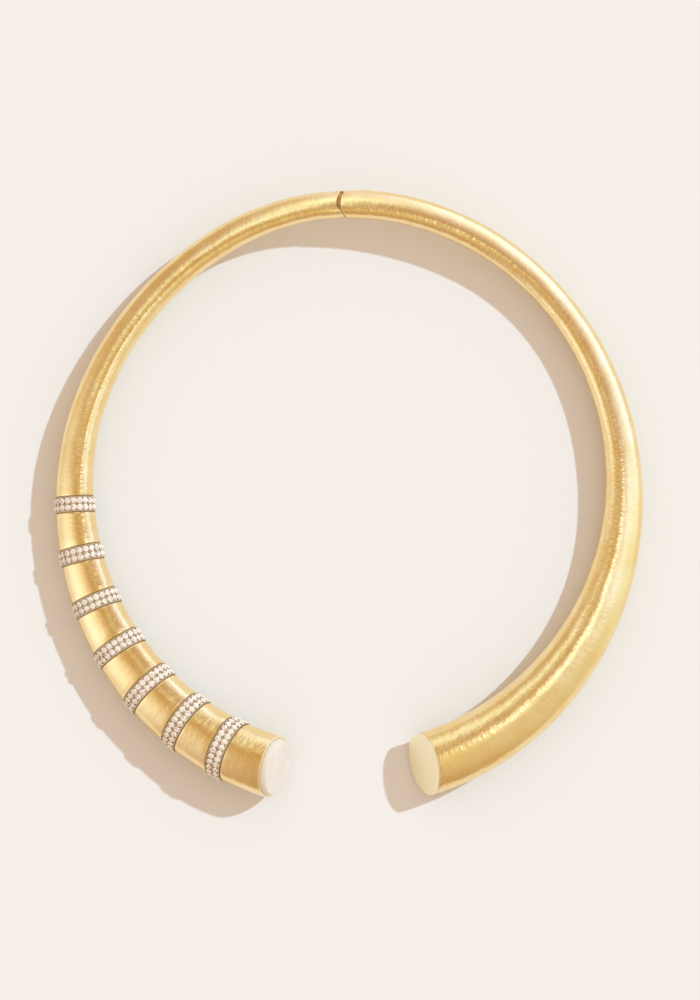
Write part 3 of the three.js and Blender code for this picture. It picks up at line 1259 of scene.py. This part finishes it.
@dataclass(frozen=True)
class Brilliant:
    """A round stone's cut, in girdle radii: table, kites, stars and girdle facets."""

    mains: int = 8
    table: float = 0.58
    crown: float = 0.34
    waist: float = 0.80
    waist_height: float = 0.19
    girdle: float = 0.05
    pavilion: float = 0.80

    def template(self) -> tuple[np.ndarray, list[Face]]:
        """Points and faces of one stone, table up, girdle at height 0.

        Returns:
            The points, in girdle radii, and the faces.
        """
        mains, rim = self.mains, 2 * self.mains
        points: list[Triple] = []
        for count, radius, height, first in (
            (mains, self.table, self.crown, 0.5),
            (mains, self.waist, self.waist_height, 1.0),
            (rim, 1.0, self.girdle / 2.0, 1.0),
            (rim, 1.0, -self.girdle / 2.0, 1.0),
        ):
            for k in range(count):
                angle = FULL_TURN * (k + first) / count
                points.append((radius * math.cos(angle), radius * math.sin(angle), height))
        culet = len(points)
        points.append((0.0, 0.0, -self.pavilion))
        faces: list[Face] = [tuple(range(mains))]
        for k in range(mains):
            waist = mains + k
            here, mid, beyond = (rim + (2 * k + step) % rim for step in range(3))
            faces.append((k, waist, (k + 1) % mains))
            faces.append((mains + (k - 1) % mains, here, waist, k))
            faces += [(waist, here, mid), (waist, mid, beyond)]
        for k in range(rim):
            upper, lower = rim + k, 2 * rim + k
            after = (k + 1) % rim
            faces.append((upper, lower, 2 * rim + after, rim + after))
            faces.append((lower, culet, 2 * rim + after))
        return np.array(points), faces


@dataclass(frozen=True)
class StoneBand:
    """One band: its metal ring, two rows of stones and the grains between them."""

    bands: Bands
    index: int
    at: float
    ring_sides: int = 180
    groove: float = 0.16
    foot_gap: float = 0.02
    sink: float = 0.24
    laden_ease: float = 0.08
    rim_ease: tuple[tuple[float, float], ...] = ((0.08, 0.0), (0.02, 0.03), (0.0, 0.06))
    wall_ease: float = 0.03
    seat_start: float = 0.10
    ridge: float = 0.04
    ridge_drop: float = 0.16
    strips: tuple[int, ...] = (2, 2, 2, 0, 0, 0, 1, 1, 1, 1, 1, 1, 1, 0, 0, 0, 2, 2, 2, 2)
    seed: int = 40
    tip: float = 0.05
    smallest: float = 0.97
    grain_radius: float = 0.13
    grain_squash: float = 0.8
    grain_proud: float = 0.20
    grain_inset: float = 0.02
    facet_angle: float = 1.0
    grain_angle: float = 80.0

    def profile(self, laden: float) -> Profile:
        """Section of the ring.

        Args:
            laden: 1 where stones sit, and 0 on the plain stretch underneath.

        Returns:
            Height above the arm, distance along it, and finish, from inner left on.
        """
        half = self.bands.width / 2.0
        foot = half + self.bands.clearance - self.foot_gap
        rim = self.bands.rim_proud
        wall = half - self.bands.rim_width
        seat = rim - laden * (rim + self.sink)
        ridge = rim - laden * self.ridge_drop
        section = [
            (-self.bands.depth, foot),
            (-self.groove, foot),
            (-self.groove, half),
            *((rim - fall, half - back) for fall, back in self.rim_ease),
            (rim, wall + self.wall_ease),
            (seat, wall),
            (seat, self.seat_start),
            (ridge, self.ridge),
        ]
        whole = [(high, -off) for high, off in section] + section[::-1]
        return [(high, off, finish) for (high, off), finish in zip(whole, self.strips)]

    def build_setting(self, palette: Palette) -> Object:
        """Makes the metal ring.

        Args:
            palette: The finishes.

        Returns:
            The ring, dressed.
        """
        turns = np.linspace(-0.5 * math.pi, 1.5 * math.pi, self.ring_sides, endpoint=False)
        from_top = np.abs(np.mod(turns - 0.5 * math.pi + math.pi, FULL_TURN) - math.pi)
        laden = 1.0 - smooth((from_top - self.bands.stone_arc / 2.0) / self.laden_ease)
        plain = self.profile(0.0)
        loops = []
        for (low, offset, _), (high, _, _) in zip(plain, self.profile(1.0)):
            flat = FORM.ring(Side.LEFT, self.at, turns, low, offset)
            sunk = FORM.ring(Side.LEFT, self.at, turns, high, offset)
            loops.append(flat + laden[:, None] * (sunk - flat))
        points = FORM.to_frame(np.concatenate(loops))
        faces = ring_faces(len(plain), self.ring_sides, closed=True)
        slots = [finish for _, _, finish in plain for _ in range(self.ring_sides)]
        # Finish 1, brown, is painted shade in the recesses round the stones; finish 2, dark brown,
        # is painted shade in the groove at the band's foot.
        finishes = [palette.white, palette.recess_shade, palette.foot_shade]
        setting = mesh_object(f"band_setting_{self.index}", points, faces, finishes, slots)
        return dress(setting, Body.LEFT_HALF, Slot.PAVE_STONES, f"pave_band_{self.index}")

    def seat_frame(self, turn: float, offset: float, proud: float) -> tuple[np.ndarray, np.ndarray]:
        """Where a stone or grain sits, with its directions round, along and out.

        Args:
            turn: Place round the arm.
            offset: Distance from the band's middle towards the front.
            proud: Height above the skin.

        Returns:
            The spot, and the three directions as rows.
        """
        place = np.array([self.at])
        spot = FORM.ring(Side.LEFT, self.at, np.array([turn]), proud, offset)[0]
        _, _, out, _ = FORM.line(Side.LEFT, place)
        outward = float(FORM.flatness(place)[0]) * math.cos(turn) * out[0]
        outward[2] += math.sin(turn)
        outward /= np.linalg.norm(outward)
        _, normal = FORM.cross_plane(Side.LEFT, self.at)
        along = normal - (normal @ outward) * outward
        along /= np.linalg.norm(along)
        return spot, np.stack([np.cross(along, outward), along, outward])

    def strew(
        self,
        name: str,
        shape: tuple[np.ndarray, list[Face]],
        seats: list[tuple[np.ndarray, np.ndarray]],
        finish: Material,
        sharp_angle: float,
    ) -> Object:
        """Makes one mesh of many copies of a small shape.

        Args:
            name: The object's name.
            shape: Points and faces of one copy.
            seats: Spot and scaled directions of each copy.
            finish: Its material.
            sharp_angle: Edges that turn more than this stay crisp.

        Returns:
            The object, dressed.
        """
        template, facets = shape
        points = np.concatenate([spot + template @ ways for spot, ways in seats])
        firsts = range(0, len(points), len(template))
        faces = [tuple(first + i for i in facet) for first in firsts for facet in facets]
        thing = mesh_object(name, FORM.to_frame(points), faces, [finish], sharp_angle=sharp_angle)
        return dress(thing, Body.LEFT_HALF, Slot.PAVE_STONES)

    def build_stones(self, palette: Palette) -> Object:
        """Makes both rows of stones, each turned and tipped a little differently.

        Args:
            palette: The finishes.

        Returns:
            The stones, as one mesh.
        """
        cut = Brilliant()
        sit = self.bands.proud - cut.crown * self.bands.girdle
        row_offset = self.bands.width / 4.0 - self.bands.rim_width / 2.0
        random = np.random.default_rng(self.seed + self.index)
        gaps = self.bands.stone_turns(self.at)
        seats = []
        for offset in (-row_offset, row_offset):
            for turn in 0.5 * (gaps[1:] + gaps[:-1]):
                spot, (round_way, along, outward) = self.seat_frame(turn, offset, sit)
                spin = random.uniform(0.0, FULL_TURN)
                tip = random.uniform(-self.tip, self.tip, 2)
                u = math.cos(spin) * round_way + math.sin(spin) * along
                v = -math.sin(spin) * round_way + math.cos(spin) * along
                w = outward + tip[0] * u + tip[1] * v
                size = self.bands.girdle * random.uniform(self.smallest, 1.0)
                seats.append((spot, size * np.stack([u, v, w / np.linalg.norm(w)])))
        name = f"band_stones_{self.index}"
        return self.strew(name, cut.template(), seats, palette.stone, self.facet_angle)

    def build_grains(self, palette: Palette) -> Object:
        """Makes the grains of metal that hold the stones.

        Args:
            palette: The finishes.

        Returns:
            The grains, as one mesh.
        """
        edge = self.bands.width / 2.0 - self.bands.rim_width - self.grain_inset
        ball = bmesh.new()
        bmesh.ops.create_icosphere(ball, subdivisions=1, radius=self.grain_radius)
        points = np.array([vertex.co[:] for vertex in ball.verts])
        facets = [tuple(vertex.index for vertex in face.verts) for face in ball.faces]
        ball.free()
        shape = (points * (1.0, 1.0, self.grain_squash), facets)
        turns = self.bands.stone_turns(self.at)
        lines = (-edge, 0.0, edge)
        seats = [self.seat_frame(turn, off, self.grain_proud) for off in lines for turn in turns]
        name = f"band_grains_{self.index}"
        return self.strew(name, shape, seats, palette.white, self.grain_angle)

    def build(self, palette: Palette) -> list[Object]:
        """Makes the band's setting, stones and grains."""
        return [self.build_setting(palette), self.build_stones(palette), self.build_grains(palette)]


@dataclass(frozen=True)
class EndStone:
    """The oval slab of milky stone in the left arm's end."""

    arm: BandedArm
    clearance: float = 0.3
    side_gap: float = 0.01
    foot_ease: float = 0.1
    proud: float = 1.3
    bevel: tuple[tuple[float, float], ...] = (
        (0.0, 0.10),
        (0.02, 0.18),
        (0.24, 0.54),
        (0.46, 0.86),
        (0.60, 1.03),
        (0.70, 1.12),
        (0.84, 1.18),
    )
    face_rings: int = 14
    sharp_angle: float = 60.0

    def build(self, palette: Palette) -> Object:
        """Makes the stone: its foot, the bevel by inset and height, and the low dome.

        Args:
            palette: The finishes.

        Returns:
            The stone, dressed.
        """
        edge = self.arm.bezel_wall + self.side_gap
        foot = self.clearance - self.arm.bezel_depth
        rows = [
            Row(self.arm.bezel_ring(edge + self.foot_ease, foot)),
            Row(self.arm.bezel_ring(edge, foot + self.foot_ease)),
        ]
        rows += [Row(self.arm.bezel_ring(edge + inset, height), 1) for inset, height in self.bevel]
        rows[-1].finish = 0
        _, normal = FORM.cross_plane(Side.LEFT, FORM.arm_end)
        inset, height = self.bevel[-1]
        rim = self.arm.bezel_ring(edge + inset, 0.0)
        middle = rim.mean(axis=0)
        for step in range(1, self.face_rings):
            share = 1.0 - step / self.face_rings
            lift = self.proud - (self.proud - height) * share**2
            rows.append(Row(middle + (rim - middle) * share + lift * normal))
        # The bevel's rings take the darker tan: painted shade tinted with the gold's colour.
        finishes = [palette.milky, palette.milky_bevel_shade]
        stone = Sweep("milky_end_stone", rows, finishes, self.sharp_angle).build()
        return dress(stone, Body.LEFT_HALF, Slot.MILKY_STONE, "end_stone")


# ---- table, light and camera ---------------------------------------------------------


@dataclass(frozen=True)
class SoftBox:
    """One soft patch of light on the tent."""

    heading: float
    """Degrees from the plain arm's side towards the nape."""
    height: float
    """Degrees above the table."""
    spread: float
    """Size, as a share of the tent's radius."""
    light: Triple

    def middle(self) -> Vector:
        """Where it is on a tent of radius 1.

        Returns:
            The point.
        """
        turn, rise = math.radians(self.heading), math.radians(self.height)
        level = math.cos(rise)
        return Vector((level * math.cos(turn), level * math.sin(turn), math.sin(rise)))


@dataclass(frozen=True)
class LightTent:
    """A dome over the necklace that only its shine sees, glowing in a few soft patches."""

    radius: float = 0.14
    rings: int = 16
    sides: int = 64
    glow: Triple = (0.50, 0.27, 0.090)
    boxes: tuple[SoftBox, ...] = (
        SoftBox(56.0, 0.0, 0.42, (0.95, 1.40, 2.20)),
        SoftBox(355.0, 0.0, 0.50, (0.47, 0.75, 0.75)),
        SoftBox(116.0, 50.0, 0.20, (0.28, 0.46, 0.70)),
        SoftBox(340.0, 66.0, 0.10, (1.60, 2.00, 2.50)),
        SoftBox(203.0, 20.0, 0.38, (0.70, 1.00, 1.30)),
        SoftBox(20.0, 10.0, 0.22, (0.15, 0.25, 0.95)),
        SoftBox(200.0, 45.0, 0.25, (0.20, 0.18, 0.04)),
        SoftBox(300.0, 35.0, 0.30, (0.20, 0.26, 0.25)),
        SoftBox(352.0, 40.0, 0.22, (0.40, 0.65, 1.10)),
        SoftBox(125.0, 62.0, 0.15, (0.62, 0.88, 0.80)),
        SoftBox(290.0, 62.0, 0.18, (0.32, 0.44, 0.25)),
        SoftBox(95.0, 35.0, 0.18, (0.60, 0.85, 0.70)),
        SoftBox(120.0, 84.0, 0.08, (0.35, 0.55, 0.50)),
        SoftBox(120.0, 3.0, 0.35, (0.14, 0.20, 0.18)),
        SoftBox(160.0, 15.0, 0.22, (0.20, 0.26, 0.23)),
    )

    def make_finish(self) -> Material:
        """Builds the glowing material: the even glow and a soft bell for each patch.

        Returns:
            The material.
        """
        bench = NodeBench("light_tent")
        sockets = {0: bench.solid(), "Scale": 1.0 / self.radius}
        spot = bench.add("VectorMath", sockets, operation="SCALE")
        total = bench.add("CombineXYZ", dict(enumerate(self.glow)))
        for box in self.boxes:
            ends = {0: spot, 1: box.middle()}
            away = bench.add("VectorMath", ends, "Value", operation="DISTANCE")
            square = bench.add("Math", {0: away, 1: 2.0}, operation="POWER")
            fall = bench.add("Math", {0: square, 1: -0.5 / box.spread**2}, operation="MULTIPLY")
            bell = bench.add("Math", {0: fall}, operation="EXPONENT")
            patch = bench.add("VectorMath", {0: box.light, "Scale": bell}, operation="SCALE")
            total = bench.add("VectorMath", {0: total, 1: patch}, operation="ADD")
        return bench.finish({"Color": total, "Strength": 1.0}, "Emission")

    def build(self) -> None:
        """Sets the dome over the necklace."""
        points = []
        for rise in np.linspace(0.0, 0.5 * math.pi, self.rings, endpoint=False):
            for turn in np.linspace(0.0, FULL_TURN, self.sides, endpoint=False):
                level = math.cos(rise)
                points.append((level * math.cos(turn), level * math.sin(turn), math.sin(rise)))
        top = len(points)
        points.append((0.0, 0.0, 1.0))
        faces = ring_faces(self.rings, self.sides)
        last = top - self.sides
        faces += [(last + i, last + (i + 1) % self.sides, top) for i in range(self.sides)]
        dome = self.radius * np.array(points)
        tent = mesh_object("light_tent", dome, faces, [self.make_finish()])
        tent.visible_camera = False
        tent.visible_diffuse = False
        tent.visible_transmission = False
        tent.visible_shadow = False


@dataclass(frozen=True)
class Studio:
    """The pale table, a warm room light, one crisp lamp, the tent and the camera overhead."""

    table_half: float = 2.5
    room_colour: Triple = (0.83, 0.67, 0.55)
    lamp_colour: Triple = (0.58, 0.81, 1.0)
    lamp_strength: float = 2.33
    lamp_lean: tuple[float, float] = (0.96, 0.62)
    lamp_softness: float = 1.6
    camera_height: float = 0.9
    picture_height: float = 0.234
    picture_middle: tuple[float, float] = (0.0004, -0.0014)
    focus_height: float = 0.006
    nearest: float = 0.01

    def build_table(self) -> None:
        """Lays the table under the necklace."""
        half = self.table_half
        corners = [(-half, -half, 0.0), (half, -half, 0.0), (half, half, 0.0), (-half, half, 0.0)]
        table = mesh_object("table_top", np.array(corners), [(0, 1, 2, 3)], [TABLE_BOARD.make()])

    def light_room(self) -> None:
        """Fills the room with soft light."""
        world = bpy.data.worlds.new("room")
        world.use_nodes = True
        room = world.node_tree.nodes["Background"]
        room.inputs["Color"].default_value = (*self.room_colour, 1.0)
        room.inputs["Strength"].default_value = 1.0
        bpy.context.scene.world = world

    def light_lamp(self) -> None:
        """Sets the crisp lamp, high on the right and towards the nape, for the table alone."""
        lamp = bpy.data.lights.new("lamp", "SUN")
        lamp.energy = self.lamp_strength
        lamp.color = self.lamp_colour
        lamp.angle = math.radians(self.lamp_softness)
        holder = bpy.data.objects.new("lamp", lamp)
        bpy.context.collection.objects.link(holder)
        towards = Vector((*self.lamp_lean, 1.0))
        holder.rotation_euler = towards.to_track_quat("Z", "Y").to_euler()
        holder.visible_glossy = False

    def set_camera(self) -> None:
        """Hangs the camera straight over the necklace."""
        lens = bpy.data.cameras.new("camera")
        lens.sensor_fit = "VERTICAL"
        lens.sensor_height = 36.0
        distance = self.camera_height - self.focus_height
        lens.lens = lens.sensor_height * distance / self.picture_height
        lens.clip_start = self.nearest
        camera = bpy.data.objects.new("camera", lens)
        camera.location = (*self.picture_middle, self.camera_height)
        bpy.context.collection.objects.link(camera)
        bpy.context.scene.camera = camera

    def build(self) -> None:
        """Sets the whole studio."""
        bpy.context.scene.view_settings.view_transform = "Standard"
        self.build_table()
        self.light_room()
        self.light_lamp()
        LightTent().build()
        self.set_camera()


# ---- the whole necklace --------------------------------------------------------------


def count_triangles(piece: Object) -> int:
    """Triangles in a piece's mesh."""
    return sum(len(face.vertices) - 2 for face in piece.data.polygons)


def main() -> None:
    """Builds the necklace piece by piece, then the studio."""
    logging.basicConfig(level=logging.INFO, format="%(message)s")
    palette = Palette()
    hinge = Hinge()
    banded = BandedArm(hinge)
    pieces = [PlainArm(hinge).build(palette), banded.build(palette), hinge.make_tongue(palette)]
    for index, at in enumerate(banded.bands.places(), start=1):
        pieces += StoneBand(banded.bands, index, at).build(palette)
    pieces.append(EndStone(banded).build(palette))
    pin = frame["nodes"]["hinge_pin"]
    pin.data.materials.clear()
    pin.data.materials.append(palette.polished)
    for piece in pieces:
        log.info("%s: %d triangles", piece.name, count_triangles(piece))
    Studio().build()


if __name__ == "__main__":
    main()
